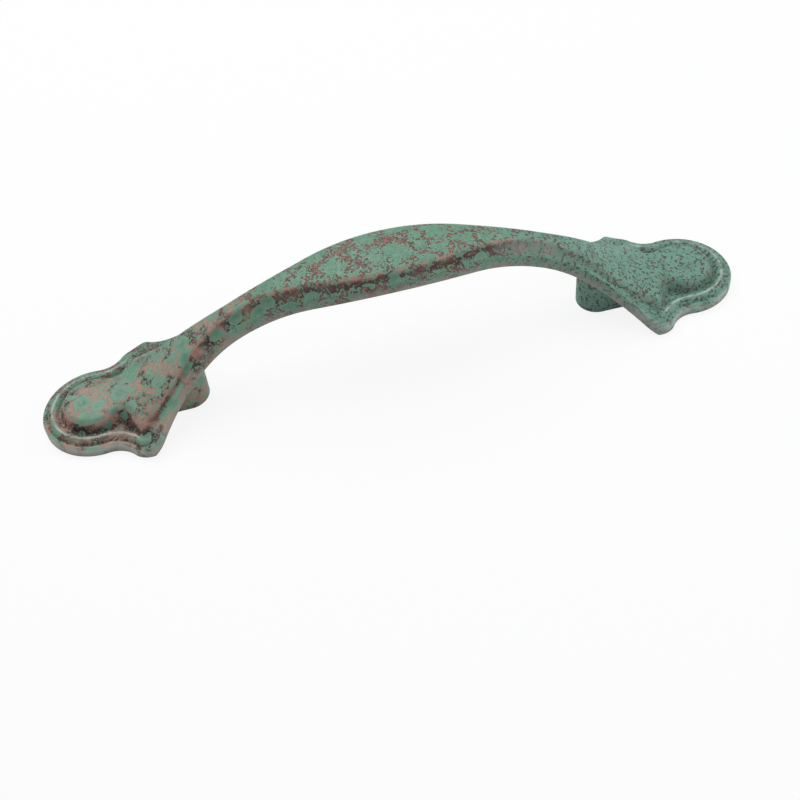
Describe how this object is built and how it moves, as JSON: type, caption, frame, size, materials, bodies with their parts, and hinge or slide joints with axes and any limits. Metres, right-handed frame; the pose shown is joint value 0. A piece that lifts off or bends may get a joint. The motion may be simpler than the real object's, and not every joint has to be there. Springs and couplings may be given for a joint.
{
  "type": "arch pull",
  "caption": "Arched cabinet pull, one casting: a swelling bow on spread feet with pointed ears and beaded rims, fixed by screws from behind.",
  "frame": {"origin": "midway between the screw holes, on the plane of the drawer front", "axes": "+X along the pull, +Y across it, +Z away from the drawer front"},
  "size_m": [0.1274, 0.025, 0.0239],
  "materials": {
    "verdigris": "satin, mottled sea green over red brown"
  },
  "bodies": {
    "root": {"pull_body": "verdigris"}
  },
  "joints": []
}
